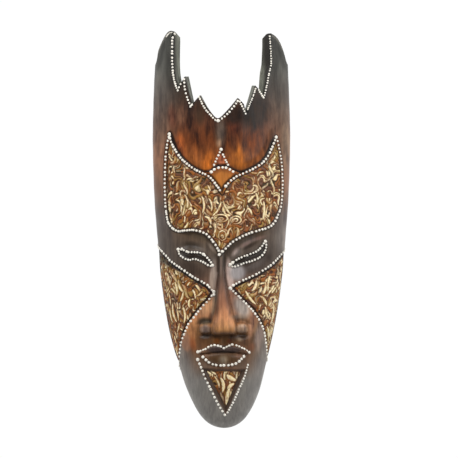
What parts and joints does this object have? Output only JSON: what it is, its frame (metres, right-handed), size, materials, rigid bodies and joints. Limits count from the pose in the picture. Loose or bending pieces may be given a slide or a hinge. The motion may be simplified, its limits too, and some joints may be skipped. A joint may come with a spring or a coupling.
{
  "type": "african mask",
  "caption": "Long bowed wooden wall mask with two horns, a jagged brow line, sunk scroll panels, narrow slit eyes, a ridge nose and full lips.",
  "frame": {"origin": "on the surface that the mask lies on, below the middle of its bounding box", "axes": "+X across the face towards the right of the picture, +Y from the chin to the horns, +Z out of the face"},
  "size_m": [0.1726, 0.5, 0.0652],
  "materials": {
    "stained_wood": "burnt and stained brown-black wood under a satin clear coat, orange-brown where the burn is thin",
    "gilt_relief": "brown scroll relief dry-brushed with pale gold",
    "dot_paint": "thick off-white paint set down in drops"
  },
  "bodies": {
    "root": {"mask": "stained_wood"}
  },
  "joints": []
}
